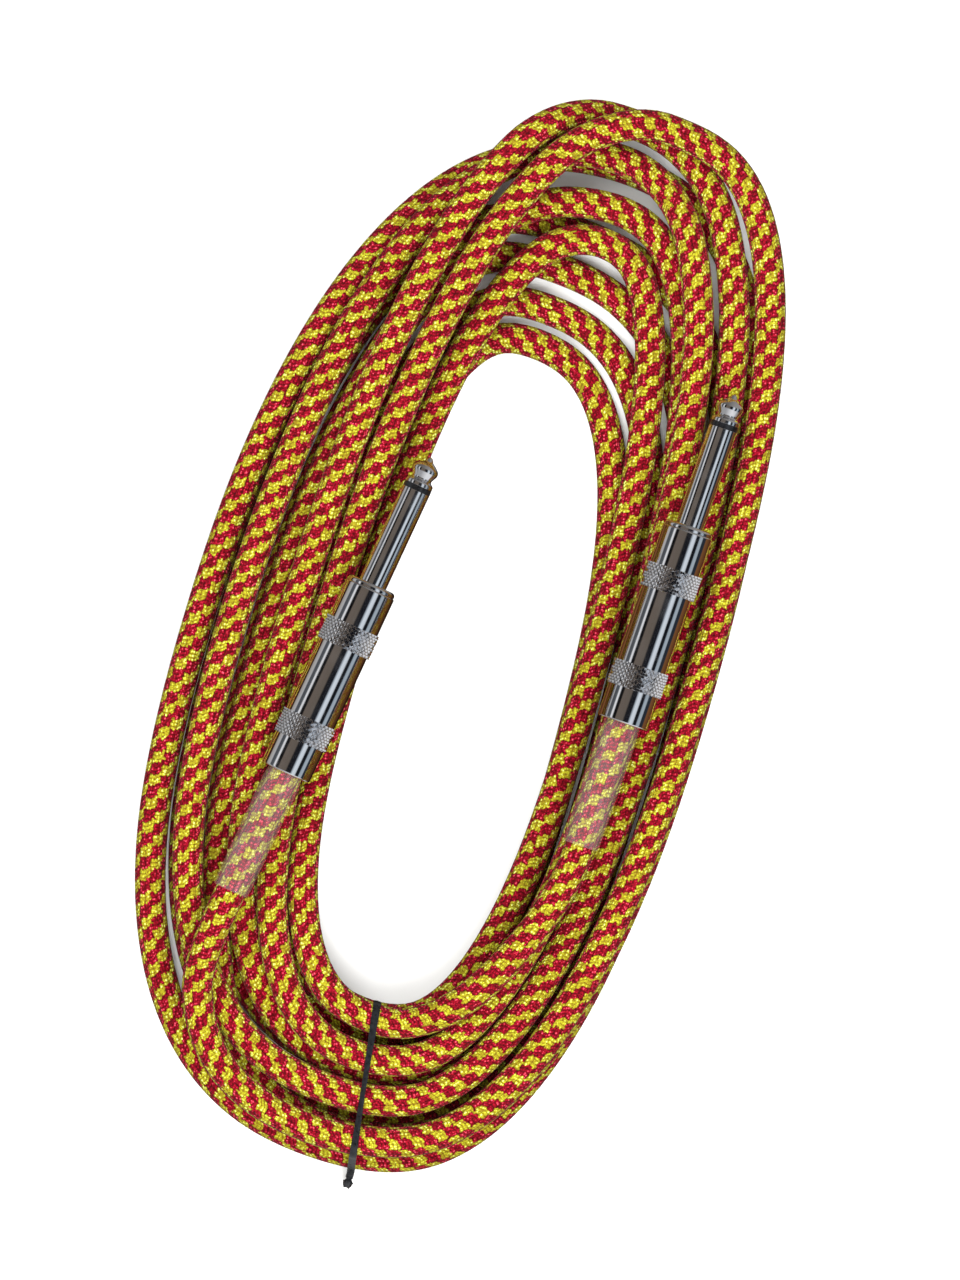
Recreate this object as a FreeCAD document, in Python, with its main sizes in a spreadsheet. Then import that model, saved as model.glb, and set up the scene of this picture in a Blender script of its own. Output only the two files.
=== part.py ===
import FreeCAD, Part
import math
import os
import re
import Sketcher

# Instrument cable: five metres of braided lead, wound in a leaning oval of ten turns, held by a
# twist tie, with a straight quarter-inch mono plug on each end. Millimetres throughout. The table
# that it lies on is z = 0, +Y is the long way of the coil and the middle of the outline is x = y = 0.

Vector = FreeCAD.Vector
doc = FreeCAD.newDocument("instrument_cable")
sheet = doc.addObject("Spreadsheet::Sheet", "dims")

# Driving dimensions: alias, value, meaning
DIMENSIONS = [
    ("finger_radius", 3.175, "quarter-inch finger of the plug"),
    ("barrel_length", 22.6, "sleeve contact, from the flange to the black ring"),
    ("ring_length", 1.1, "black insulating ring, flush with the metal"),
    ("collar_length", 1.0, "full-width collar of the tip contact"),
    ("neck_radius", 2.3, "waist that the socket's spring drops into"),
    ("neck_slope", 0.5, "length of the slope from the collar to the waist"),
    ("neck_length", 0.4, "length of the waist"),
    ("head_radius", 3.02, "widest place of the pointed head"),
    ("head_slope", 1.8, "length from the waist to the widest place"),
    ("brow_radius", 2.75, "where the head turns in to its point"),
    ("brow_length", 0.7, "length from the widest place to there"),
    ("nib_radius", 1.35, "foot of the point"),
    ("nib_slope", 1.1, "length from the brow to the foot of the point"),
    ("nib_length", 1.3, "length of the point"),
    ("point_radius", 0.35, "end of the point"),
    ("rod_radius", 1.2, "rod from the tip through the barrel"),
    ("rod_gap", 0.05, "rod to its insulation"),
    ("liner_radius", 2.15, "insulation of the rod"),
    ("liner_gap", 0.05, "insulation to the barrel's bore"),
    ("rivet_radius", 1.8, "rear end of the rod, spread over the tip lug"),
    ("rivet_length", 0.6, "length of the spread end"),
    ("flange_radius", 5.5, "flange that shows as a ring in front of the shell"),
    ("flange_length", 1.2, "length of the flange"),
    ("flange_bevel", 0.6, "bevel on the front of the flange"),
    ("thread_radius", 4.6, "threaded boss behind the flange"),
    ("thread_length", 5.0, "length of the threaded boss"),
    ("thread_clearance", 0.06, "shell to the boss, on the radius"),
    ("lug_thickness", 0.6, "ground lug and tip lug"),
    ("ground_ring_inset", 0.5, "ring of the ground lug, inside the boss's thread"),
    ("washer_radius", 2.9, "fibre washer between the two lugs"),
    ("washer_length", 1.0, "thickness of the fibre washer"),
    ("tip_lug_radius", 2.6, "ring of the tip lug"),
    ("tag_width", 2.4, "width of both soldering tags"),
    ("tag_length", 6.0, "length of the tip lug's tag"),
    ("clamp_length", 6.0, "cord clamp at the end of the ground lug"),
    ("clamp_wall", 0.45, "wall of the cord clamp"),
    ("clamp_slot", 4.0, "open side of the cord clamp"),
    ("tag_offset", 0.1, "inner face of the ground tag, from the middle of the clamp's wall"),
    ("clamp_distance", 23.8, "front of the clamp, behind the flange's front"),
    ("shell_radius", 5.75, "screw-on shell"),
    ("shell_length", 44.3, "length of the shell"),
    ("shell_bevel", 0.5, "bevels at both ends of the shell"),
    ("shell_wall", 0.65, "wall of the shell round its bore"),
    ("shell_end", 2.4, "thickness of the shell's rear wall"),
    ("shell_thread", 5.4, "length of the shell's threaded mouth"),
    ("knurl_height", 0.4, "knurled bands stand this far above the shell"),
    ("knurl_edge", 0.3, "bevel at the edges of a knurled band"),
    ("knurl_length", 5.5, "length of a knurled band"),
    ("front_knurl", 8.8, "from the shell's mouth to the front band"),
    ("rear_knurl", 31.3, "from the shell's mouth to the rear band"),
    ("tube_fit", 0.38, "insulating tube to the shell's bore, on the radius"),
    ("tube_wall", 0.3, "wall of the insulating tube"),
    ("tube_play", 0.5, "the tube ends this far short of both steps"),
    ("cord_diameter", 6.8, "braided cord"),
    ("cord_sides", 6, "flat sides that stand for the round of the cord"),
    ("cord_corner", 3.55, "corners of the flat sides, a little proud of the round"),
    ("sleeve_wall", 0.3, "clear strain sleeve on the cord"),
    ("sleeve_gap", 0.05, "strain sleeve to the cord's corners"),
    ("sleeve_hidden", 5.0, "strain sleeve inside the shell"),
    ("sleeve_length", 28.5, "strain sleeve that shows behind the shell"),
    ("shell_clearance", 0.35, "rear hole of the shell to the strain sleeve"),
    ("cord_setback", 0.6, "the cord's cut end lies this far behind the clamp's front"),
    ("core_radius", 1.4, "white insulation of the core"),
    ("core_length", 6.0, "insulation that stands out of the cord's end"),
    ("wire_radius", 0.45, "bare core wire"),
    ("wire_gap", 0.05, "wire to its insulation, to its tag and to the solder"),
    ("screen_radius", 0.5, "twisted tail of the screen"),
    ("screen_length", 9.0, "length of the screen's tail"),
    ("solder_radius", 1.3, "solder drops"),
    ("solder_length", 2.6, "length of the solder drops along the wires"),
    ("left_plug_x", -23.5, "front of the left plug's flange"),
    ("left_plug_y", 8.1, "the same place along the coil"),
    ("left_plug_turn", 80.1, "way that the left plug points, from +X"),
    ("right_plug_x", 40.3, "front of the right plug's flange"),
    ("right_plug_y", 38.3, "the same place along the coil"),
    ("right_plug_turn", 86.1, "way that the right plug points, from +X"),
    ("plug_lift", 4.35, "plug axes, in layers of the coil"),
    ("layer_rise", 7.5, "from one layer of turns to the next"),
    ("flat_share", 0.1, "the lowest turns are flattened by this share of the cord"),
    ("corner_share", 0.7, "how round the corners of the oval are"),
    ("upper_right_share", 0.69, "how round the corner between the right side and the top is"),
    ("upper_left_share", 0.74, "how round the corner between the top and the left side is"),
    ("right_squareness", 2.5, "power of the oval that right shoulders lie on"),
    ("left_squareness", 2.75, "power of the oval that left shoulders lie on"),
    ("tie_width", 1.8, "twist tie"),
    ("tie_thickness", 0.7, "thickness of the tie"),
    ("tie_gap", 0.1, "tie to the corners of the cord"),
    ("tie_x", 2.0, "where the tie stands, and where the turns cross the bottom"),
    ("right_side_y", -14.0, "where the shortest turn reaches furthest right"),
    ("right_side_fan", 0.68, "how far that place rises, as a share of the rise of a turn's top"),
    ("shortest_top", 69.8, "top of the shortest turn"),
    ("left_side_y", -22.0, "where the turns reach furthest left"),
    ("twist_length", 3.0, "twisted stretch of the tie's ends"),
    ("twist_width", 2.4, "width of the twisted stretch"),
    ("tail_length", 4.5, "free tails of the tie"),
    ("tail_pitch", 55.0, "how steeply the tails hang"),
    ("left_tail_turn", 205.0, "way of one tail, from +X"),
    ("right_tail_turn", 320.0, "way of the other tail"),
    ("middle_x", -3.55, "middle of the outline, from the eye of the coil"),
    ("middle_y", 0.73, "the same place along the coil"),
]
for row, (alias, value, meaning) in enumerate(DIMENSIONS, start=1):
    sheet.set(f"A{row}", alias)
    sheet.set(f"B{row}", str(value))
    sheet.set(f"C{row}", meaning)
    sheet.setAlias(f"B{row}", alias)
doc.recompute()
size = {alias: float(sheet.get(alias)) for alias, value, meaning in DIMENSIONS}


def bound(text):
    # an expression in the names of the sheet
    return re.sub(r"[a-z][a-z_]*", r"dims.\g<0>", text)


def origin_plane(body, role):
    return next(item for item in body.Origin.OriginFeatures if item.Role == role)


def turned(label, corners):
    # A solid of revolution about its own X axis. Corners are (place along the axis, radius).
    body = doc.addObject("PartDesign::Body", label)
    profile = body.newObject("Sketcher::SketchObject", label + "_profile")
    profile.AttachmentSupport = [(origin_plane(body, "XY_Plane"), "")]
    profile.MapMode = "FlatFace"
    count = len(corners)
    start = [Vector(math.cos(6.28 * i / count), 3 + math.sin(6.28 * i / count), 0) for i in range(count)]
    for i in range(count):
        profile.addGeometry(Part.LineSegment(start[i], start[(i + 1) % count]), False)
    for i in range(count):
        profile.addConstraint(Sketcher.Constraint("Coincident", i, 2, (i + 1) % count, 1))
    for i, (place, radius) in enumerate(corners):
        for kind, value, text in (("DistanceX", start[i].x, place), ("DistanceY", start[i].y, radius)):
            index = profile.addConstraint(Sketcher.Constraint(kind, -1, 1, i, 1, value))
            profile.setExpression(f"Constraints[{index}]", bound(text))
    turn = body.newObject("PartDesign::Revolution", label + "_turned")
    turn.Profile = profile
    turn.ReferenceAxis = (profile, ["H_Axis"])
    turn.Angle = 360
    return body


def at_plug(piece, side):
    # Plug pieces are drawn along +X with the flange's front at x = 0, then set down at their plug.
    piece.Placement = FreeCAD.Placement(Vector(), FreeCAD.Rotation(Vector(0, 0, 1), 1))
    piece.setExpression("Placement.Base.x", bound(f"{side}_plug_x - middle_x"))
    piece.setExpression("Placement.Base.y", bound(f"{side}_plug_y - middle_y"))
    piece.setExpression("Placement.Base.z", bound(PLUG_HEIGHT))
    piece.setExpression("Placement.Rotation.Angle", bound(f"{side}_plug_turn"))
    piece.Label = piece.Name
    return piece


def cylinder(name, radius, length, front):
    # a cylinder along X that starts at `front` and runs backwards
    piece = doc.addObject("Part::Cylinder", name)
    piece.Placement = FreeCAD.Placement(Vector(), FreeCAD.Rotation(Vector(0, 1, 0), -90))
    piece.setExpression("Radius", bound(radius))
    piece.setExpression("Height", bound(length))
    piece.setExpression("Placement.Base.x", bound(front))
    return piece


def box(name, length, width, height, corner):
    piece = doc.addObject("Part::Box", name)
    for key, text in (("Length", length), ("Width", width), ("Height", height)):
        piece.setExpression(key, bound(text))
    for key, text in zip("xyz", corner):
        piece.setExpression("Placement.Base." + key, bound(text))
    return piece


def cut(name, base, tool):
    piece = doc.addObject("Part::Cut", name)
    piece.Base = base
    piece.Tool = tool
    return piece


def fuse(name, pieces):
    piece = doc.addObject("Part::MultiFuse", name)
    piece.Shapes = pieces
    piece.Refine = True
    return piece


# Lengths that several pieces share, as expressions of the sheet
FIRST_LAYER = "cord_diameter * (0.5 - flat_share)"
PLUG_HEIGHT = f"{FIRST_LAYER} + (plug_lift - 1) * layer_rise"
COLLAR_BACK = "(barrel_length + ring_length)"
NECK_BACK = f"({COLLAR_BACK} + collar_length + neck_slope)"
HEAD_WIDEST = f"({NECK_BACK} + neck_length + head_slope)"
BOSS_BACK = "(flange_length + thread_length)"
WASHER_FRONT = f"({BOSS_BACK} + lug_thickness)"
WASHER_BACK = f"({WASHER_FRONT} + washer_length)"
TIP_LUG_BACK = f"({WASHER_BACK} + lug_thickness)"
SHELL_BACK = "(flange_length + shell_length)"
SHELL_BORE = "(shell_radius - shell_wall)"
TUBE_RADIUS = f"({SHELL_BORE} - tube_fit)"


def tip_contact(side):
    # pointed head, waist and collar, on the rod that ends in a spread rivet behind the lugs
    return turned(f"{side}_tip_contact", [
        (f"-{TIP_LUG_BACK} - rivet_length", "0"),
        (f"-{TIP_LUG_BACK} - rivet_length", "rivet_radius"),
        (f"-{TIP_LUG_BACK}", "rivet_radius"),
        (f"-{TIP_LUG_BACK}", "rod_radius"),
        (COLLAR_BACK, "rod_radius"),
        (COLLAR_BACK, "finger_radius"),
        (f"{COLLAR_BACK} + collar_length", "finger_radius"),
        (NECK_BACK, "neck_radius"),
        (f"{NECK_BACK} + neck_length", "neck_radius"),
        (HEAD_WIDEST, "head_radius"),
        (f"{HEAD_WIDEST} + brow_length", "brow_radius"),
        (f"{HEAD_WIDEST} + brow_length + nib_slope", "nib_radius"),
        (f"{HEAD_WIDEST} + brow_length + nib_slope + nib_length", "point_radius"),
        (f"{HEAD_WIDEST} + brow_length + nib_slope + nib_length", "0"),
    ])


def tip_insulator(side):
    # the black ring that shows, and the lining of the barrel behind it
    return turned(f"{side}_tip_insulator", [
        (f"-{WASHER_FRONT}", "rod_radius + rod_gap"),
        (f"-{WASHER_FRONT}", "liner_radius"),
        ("barrel_length", "liner_radius"),
        ("barrel_length", "finger_radius"),
        (COLLAR_BACK, "finger_radius"),
        (COLLAR_BACK, "rod_radius + rod_gap"),
    ])


def sleeve_body(side):
    # barrel, bevelled flange and threaded boss in one turned piece
    return turned(f"{side}_sleeve_body", [
        (f"-{BOSS_BACK}", "liner_radius + liner_gap"),
        (f"-{BOSS_BACK}", "thread_radius"),
        ("-flange_length", "thread_radius"),
        ("-flange_length", "flange_radius"),
        ("-flange_bevel", "flange_radius"),
        ("0", "flange_radius - flange_bevel"),
        ("0", "finger_radius"),
        ("barrel_length", "finger_radius"),
        ("barrel_length", "liner_radius + liner_gap"),
    ])


def rear_insulator(side):
    return turned(f"{side}_rear_insulator", [
        (f"-{WASHER_BACK}", "rod_radius + rod_gap"),
        (f"-{WASHER_BACK}", "washer_radius"),
        (f"-{WASHER_FRONT}", "washer_radius"),
        (f"-{WASHER_FRONT}", "rod_radius + rod_gap"),
    ])


def shell(side):
    # Screw-on shell with two raised knurled bands. A threaded mouth, a wider bore for the
    # insulating tube, and a rear wall with the hole that the strain sleeve runs through.
    corners = [
        (f"-{SHELL_BACK}", "cord_corner + sleeve_gap + sleeve_wall + shell_clearance"),
        (f"-{SHELL_BACK}", "shell_radius - shell_bevel"),
        (f"-{SHELL_BACK} + shell_bevel", "shell_radius"),
    ]
    for band in ("rear_knurl", "front_knurl"):
        front = f"-flange_length - {band}"
        back = f"{front} - knurl_length"
        corners += [
            (back, "shell_radius"),
            (f"{back} + knurl_edge", "shell_radius + knurl_height"),
            (f"{front} - knurl_edge", "shell_radius + knurl_height"),
            (front, "shell_radius"),
        ]
    corners += [
        ("-flange_length - shell_bevel", "shell_radius"),
        ("-flange_length", "shell_radius - shell_bevel"),
        ("-flange_length", "thread_radius + thread_clearance"),
        ("-flange_length - shell_thread", "thread_radius + thread_clearance"),
        ("-flange_length - shell_thread", SHELL_BORE),
        (f"-{SHELL_BACK} + shell_end", SHELL_BORE),
        (f"-{SHELL_BACK} + shell_end", "cord_corner + sleeve_gap + sleeve_wall + shell_clearance"),
    ]
    return turned(f"{side}_shell", corners)


def insulating_tube(side):
    # loose in the shell's bore, between its two steps, and round the lugs
    front = "-flange_length - shell_thread - tube_play"
    back = f"-{SHELL_BACK} + shell_end + tube_play"
    return turned(f"{side}_insulating_tube", [
        (back, f"{TUBE_RADIUS} - tube_wall"),
        (back, TUBE_RADIUS),
        (front, TUBE_RADIUS),
        (front, f"{TUBE_RADIUS} - tube_wall"),
    ])


def strain_sleeve(side):
    # clear sleeve shrunk on the cord
    front = f"-{SHELL_BACK} + sleeve_hidden"
    back = f"-{SHELL_BACK} - sleeve_length"
    return turned(f"{side}_strain_sleeve", [
        (back, "cord_corner + sleeve_gap"),
        (back, "cord_corner + sleeve_gap + sleeve_wall"),
        (front, "cord_corner + sleeve_gap + sleeve_wall"),
        (front, "cord_corner + sleeve_gap"),
    ])


def core_insulation(side):
    back = "-clamp_distance - cord_setback"
    return turned(f"{side}_core_insulation", [
        (back, "wire_radius + wire_gap"),
        (back, "core_radius"),
        (f"{back} + core_length", "core_radius"),
        (f"{back} + core_length", "wire_radius + wire_gap"),
    ])


def ground_lug(side):
    # Ring against the boss, a tag along the bottom of the shell and a clamp round the cord.
    name = f"{side}_ground_lug"
    inner = "(cord_corner + sleeve_gap)"
    ring = cut(
        name + "_ring",
        cylinder(name + "_disc", "thread_radius - ground_ring_inset", "lug_thickness", f"-{BOSS_BACK}"),
        cylinder(name + "_hole", "liner_radius + liner_gap", "lug_thickness", f"-{BOSS_BACK}"),
    )
    tag = box(
        name + "_tag",
        f"clamp_distance + cord_setback / 2 - {BOSS_BACK}", "tag_width", "clamp_wall",
        ("-clamp_distance - cord_setback / 2", "-tag_width / 2", f"-{inner} - clamp_wall / 2 + tag_offset"),
    )
    band = cut(
        name + "_band",
        cylinder(name + "_outer", f"{inner} + clamp_wall", "clamp_length", "-clamp_distance"),
        cylinder(name + "_inner", inner, "clamp_length", "-clamp_distance"),
    )
    slot = box(
        name + "_slot", "clamp_length", "clamp_slot", f"{inner} + clamp_wall",
        ("-clamp_distance - clamp_length", "-clamp_slot / 2", "0"),
    )
    clamp = cut(name + "_clamp", band, slot)
    return fuse(name, [ring, tag, clamp])


def tip_lug(side):
    # ring under the rod's rivet, with a tag bent back for the core wire
    name = f"{side}_tip_lug"
    ring = cylinder(name + "_disc", "tip_lug_radius", "lug_thickness", f"-{WASHER_BACK}")
    tag = box(
        name + "_tag", f"tag_length", "tag_width", "lug_thickness",
        (f"-{WASHER_BACK} - tag_length", "-tag_width / 2", "rivet_radius + wire_gap"),
    )
    hole = cylinder(name + "_hole", "rod_radius", "lug_thickness", f"-{WASHER_BACK}")
    return cut(name, fuse(name + "_blank", [ring, tag]), hole)


def station(x, y, z, degrees):
    # a place on the path and the level way that it runs there
    turn = math.radians(degrees)
    return Vector(x, y, z), Vector(math.cos(turn), math.sin(turn), 0)


def biarc(start, end, share=size["corner_share"]):
    # Two arcs that leave `start` and reach `end` along their own ways, each as (from, corner, to).
    # In a square quarter the tight arc gets its share of the short leg.
    p, go = start
    q, come = end
    chord = q - p
    along, across, square = chord.dot(go), chord.dot(come), chord.dot(chord)
    straight = go.dot(come)
    if abs(straight) > 0.02:
        legs = along + across
        first = second = square / (legs + math.sqrt(legs * legs + 2 * (1 - straight) * square))
    elif abs(along) < abs(across):
        first = share * along
        second = (square - 2 * along * first) / (2 * (across + first))
    else:
        second = share * across
        first = (square - 2 * across * second) / (2 * (along + second))
    corner, last = p + go * first, q - come * second
    joint = (corner * second + last * first) * (1 / (first + second))
    return (p, corner, joint), (joint, last, q)


def arc_edge(start, corner, end):
    # the arc from start to end that is tangent to the legs of its corner, and its radius
    middle = (start + end) * 0.5
    half, height = (end - start).Length / 2, (corner - middle).Length
    half_turn = math.atan2(height, half)
    bulge = half * math.tan(half_turn / 2)
    edge = Part.Arc(start, middle + (corner - middle) * (bulge / height), end).toShape()
    return edge, half / math.sin(half_turn)


def pipe(edges, start, radius, sides, turned_by=0.5):
    # a bar with flat sides along joined edges
    place, way = start
    level = way.cross(Vector(0, 0, 1))
    corners = []
    for i in range(sides):
        turn = 2 * math.pi * (i + turned_by) / sides
        corners.append(place + level * (radius * math.cos(turn)) + Vector(0, 0, radius * math.sin(turn)))
    shell_maker = Part.BRepOffsetAPI.MakePipeShell(Part.Wire(edges))
    shell_maker.add(Part.makePolygon(corners + corners[:1]))
    shell_maker.build()
    shell_maker.makeSolid()
    return shell_maker.shape()


def feature(name, shape):
    piece = doc.addObject("Part::Feature", name)
    piece.Shape = shape
    piece.Label = name
    return piece


def wires(side):
    # Core wire up to the tip lug's tag, the screen's tail down to the ground lug's tag, and a drop
    # of solder on each. The drops are cut by what they hold.
    end = -size["clamp_distance"] - size["cord_setback"]
    radius = size["wire_radius"]
    tag_under = size["rivet_radius"] + size["wire_gap"]
    lug_tip = -(size["flange_length"] + size["thread_length"] + size["lug_thickness"]
                + size["washer_length"] + size["tag_length"])
    length, drop = size["solder_length"], size["solder_radius"]
    core_path = [
        station(end, 0, 0, 0),
        station(end + size["core_length"], 0, 0, 0),
        station(lug_tip, 0, tag_under - radius - size["wire_gap"], 0),
        station(lug_tip + length, 0, tag_under - radius - size["wire_gap"], 0),
    ]
    tag_top = -(size["cord_corner"] + size["sleeve_gap"]) + size["clamp_wall"] / 2 + size["tag_offset"]
    tail = size["screen_radius"]
    tail_height = tag_top + tail + size["wire_gap"]
    screen_path = [
        station(end, 0, tail_height + 0.4, 0),
        station(end + size["screen_length"] - length, 0, tail_height, 0),
        station(end + size["screen_length"], 0, tail_height, 0),
    ]
    made = []
    for name, path, thick in (("core_wire", core_path, radius), ("screen_tail", screen_path, tail)):
        edges = []
        for start, stop in zip(path[:-1], path[1:]):
            if abs(start[0].z - stop[0].z) < 1e-6:
                edges.append(Part.LineSegment(start[0], stop[0]).toShape())
            else:
                edges += [arc_edge(*part)[0] for part in biarc(start, stop)]
        made.append(feature(f"{side}_{name}", pipe(edges, path[0], thick, 8)))
    drops = []
    for wire, thick, level in zip(made, (radius, tail), (core_path[-1][0].z, tail_height)):
        back = Vector(wire.Shape.BoundBox.XMax - size["wire_gap"] - length, 0, level)
        ring = [back + Vector(0, drop * math.cos(math.radians(a)), drop * math.sin(math.radians(a)))
                for a in range(30, 390, 60)]
        block = Part.Face(Part.makePolygon(ring + ring[:1])).extrude(Vector(length, 0, 0))
        hole = Part.makeCylinder(thick + size["wire_gap"], 2 * length,
                                 back - Vector(length / 2, 0, 0), Vector(1, 0, 0))
        drops.append(block.cut(hole))
    reach, long = 2 * drop, size["shell_length"]
    above = Part.makeBox(long, 2 * reach, reach, Vector(-long, -reach, tag_under - size["wire_gap"]))
    below = Part.makeBox(long, 2 * reach, reach, Vector(-long, -reach, tag_top + size["wire_gap"] - reach))
    solder = Part.makeCompound([drops[0].cut(above), drops[1].cut(below)])
    made.append(feature(f"{side}_solder_joints", solder))
    return made


nodes = []
for side in ("left", "right"):
    for make in (tip_contact, tip_insulator, sleeve_body, rear_insulator, shell, insulating_tube,
                 strain_sleeve, core_insulation, ground_lug, tip_lug):
        nodes.append(at_plug(make(side), side))
    nodes += [at_plug(piece, side) for piece in wires(side)]
doc.recompute()

# The ten turns, in the order that the cord takes them from the left plug to the right one. Places
# are from the eye of the coil and heights are in layers. A shoulder lies between the top and a side,
# where a turn climbs over the fan, as its height and its angle on the oval.
# name, bottom y and layer, right x and layer, right shoulder, top x, y and layer, left shoulder,
# left x and layer
TURNS = [
    ("ninth", (-111.3, 3), (51.6, 3), None, (13, 121.7, 3.05), (3.15, 60), (-31.6, 3)),
    ("seventh", (-93.2, 3), (36.5, 3), (3.15, 45), (1.5, 112.8, 2.05), (2.06, 45), (-51.5, 2.95)),
    ("eighth", (-102.2, 3), (43.9, 2), (2.85, 42), (1, 121.2, 1.85), (3.1, 65), (-39, 3.05)),
    ("fifth", (-95.8, 2), (36.2, 2), None, (4, 102.3, 2), None, (-43.5, 2)),
    ("sixth", (-110.6, 2), (52.1, 2), None, (1, 111.9, 1), None, (-59.2, 1.95)),
    ("fourth", (-115, 1), (50.7, 1), None, (-8, 95.6, 1), None, (-52.4, 1)),
    ("third", (-105.2, 1), (43, 1), None, (-9, 86.8, 1), None, (-44.8, 1)),
    ("second", (-96, 1), (35.3, 1), None, (-7, 77.4, 1), None, (-37.3, 1)),
    ("first", (-87.8, 1), (27.6, 1), None, (-6, 69.3, 1), None, (-29.8, 1)),
    ("inner", (-84.1, 2), (28, 2), None, (4.5, 94.4, 2), None, (-25.2, 1.95)),
]
# the last crossing of the bottom, and the two places where the ends pass over the turns
LAST_BOTTOM = (-84.3, 3)
FROM_LEFT_PLUG = (-37.8, -87.5, 3.98, 286)
TO_RIGHT_PLUG = (24.5, -67.5, 3.98, 60)


def height(layer):
    return size["cord_diameter"] * (0.5 - size["flat_share"]) + (layer - 1) * size["layer_rise"]


def shoulder(side, top, layer, degrees, squareness):
    # a place on the squared oval between a side and the top, with the way that the turn runs there
    wide, tall = side[0].x - top[0].x, top[0].y - side[0].y
    turn, power = math.radians(degrees), 2 / squareness
    c, s = math.cos(turn), math.sin(turn)
    place = Vector(top[0].x + wide * c ** power, side[0].y + tall * s ** power, height(layer))
    way = Vector(-wide * c ** (power - 1) * s, tall * s ** (power - 1) * c, 0)
    if wide < 0:
        way = -way
    return place, way.normalize()


def plug_station(side, distance):
    # a place on a plug's axis, behind the front of its flange, running away from the plug
    turn = math.radians(size[side + "_plug_turn"])
    x = size[side + "_plug_x"] - distance * math.cos(turn)
    y = size[side + "_plug_y"] - distance * math.sin(turn)
    return station(x, y, height(size["plug_lift"]), size[side + "_plug_turn"] + 180)


tie_lift = size["cord_corner"] + size["tie_gap"] + size["tie_thickness"] - height(1)


def bottom_station(y, layer):
    return station(size["tie_x"], y, height(layer) + tie_lift, 0)


cut_end = size["clamp_distance"] + size["cord_setback"]
sleeve_end = size["flange_length"] + size["shell_length"] + size["sleeve_length"]
path = [("left plug", plug_station("left", cut_end)), ("left plug", plug_station("left", sleeve_end))]
x, y, layer, degrees = FROM_LEFT_PLUG
path.append(("left plug", station(x, y, height(layer) + tie_lift / 2, degrees)))
for name, bottom, right, right_rise, top, left_rise, left in TURNS:
    right_y = size["right_side_y"] + size["right_side_fan"] * (top[1] - size["shortest_top"])
    right_end = station(right[0], right_y, height(right[1]), 90)
    top_end = station(top[0], top[1], height(top[2]), 180)
    left_end = station(left[0], size["left_side_y"], height(left[1]), 270)
    path += [(name, bottom_station(*bottom)), (name, right_end)]
    if right_rise:
        path.append((name, shoulder(right_end, top_end, *right_rise, size["right_squareness"])))
    path.append((name, top_end))
    if left_rise:
        path.append((name, shoulder(left_end, top_end, *left_rise, size["left_squareness"])))
    path.append((name, left_end))
path.append(("right plug", bottom_station(*LAST_BOTTOM)))
x, y, layer, degrees = TO_RIGHT_PLUG
path.append(("right plug", station(x, y, height(layer) + tie_lift / 2, degrees)))
for distance in (sleeve_end, cut_end):
    place, way = plug_station("right", distance)
    path.append(("right plug", (place, -way)))



def corner_share(go, come):
    # the upper corners of the oval are squarer on the right and rounder on the left
    if go.y > 0.9 and come.x < -0.9:
        return size["upper_right_share"]
    if go.x < -0.9 and come.y < -0.9:
        return size["upper_left_share"]
    return size["corner_share"]


middle = Vector(size["middle_x"], size["middle_y"], 0)
edges, radii, points = [], [], []
for (name, start), (next_name, end) in zip(path[:-1], path[1:]):
    start, end = (start[0] - middle, start[1]), (end[0] - middle, end[1])
    if (end[0] - start[0]).cross(start[1]).Length < 1e-6:
        parts = [(Part.LineSegment(start[0], end[0]).toShape(), None)]
    else:
        parts = [arc_edge(*part) for part in biarc(start, end, corner_share(start[1], end[1]))]
    for edge, radius in parts:
        edges.append(edge)
        radii += [radius] if radius else []
        steps = max(2, round(edge.Length))
        points += [(name, point) for point in edge.discretize(steps)]


def least_gap(points, apart, reach):
    # the least distance between points that lie more than `apart` steps from each other
    cells, least = {}, (reach, None, None)
    for i, (name, point) in enumerate(points):
        cell = tuple(int(math.floor(value / reach)) for value in point)
        for dx in (-1, 0, 1):
            for dy in (-1, 0, 1):
                for dz in (-1, 0, 1):
                    for j in cells.get((cell[0] + dx, cell[1] + dy, cell[2] + dz), ()):
                        if i - j > apart:
                            distance = (point - points[j][1]).Length
                            if distance < least[0]:
                                least = (distance, points[j][0], name)
        cells.setdefault(cell, []).append(i)
    return least


cord_length = sum(edge.Length for edge in edges)
same_strand = round(4.5 * size["cord_diameter"])
near, first_name, second_name = least_gap(points, same_strand, 2 * size["cord_diameter"])
print(f"cord: {cord_length:.0f} mm long, radii {min(radii):.1f} to {max(radii):.0f} mm")
print("radii:", " ".join(f"{radius:.0f}" for radius in radii))
print(f"least gap to itself {near - size['cord_diameter']:.2f} mm ({first_name} and {second_name})")

sides, corner = int(size["cord_sides"]), size["cord_corner"]
cord = pipe(edges, (path[0][1][0] - middle, path[0][1][1]), corner, sides)
section = sides * corner ** 2 * math.sin(2 * math.pi / sides) / 2
print(f"cord volume {cord.Volume:.0f}, section times length {section * cord_length:.0f} mm3")
around = cord.BoundBox
around.enlarge(size["cord_diameter"])
under = Part.makeBox(around.XLength, around.YLength, around.ZLength,
                     Vector(around.XMin, around.YMin, -around.ZLength))
nodes.append(feature("coiled_cord", cord.cut(under)))


def tie_outline(distance):
    # round the outermost strands at the bottom of the coil, in the plane of the tie
    first, fourth = TURNS[8][1], TURNS[5][1]
    hull = [first, fourth, TURNS[0][1], LAST_BOTTOM, TURNS[9][1]]
    centres = [Vector(size["tie_x"], y, height(layer) + tie_lift) - middle for y, layer in hull]
    return Part.makePolygon(centres + centres[:1]).makeOffset2D(distance)


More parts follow.
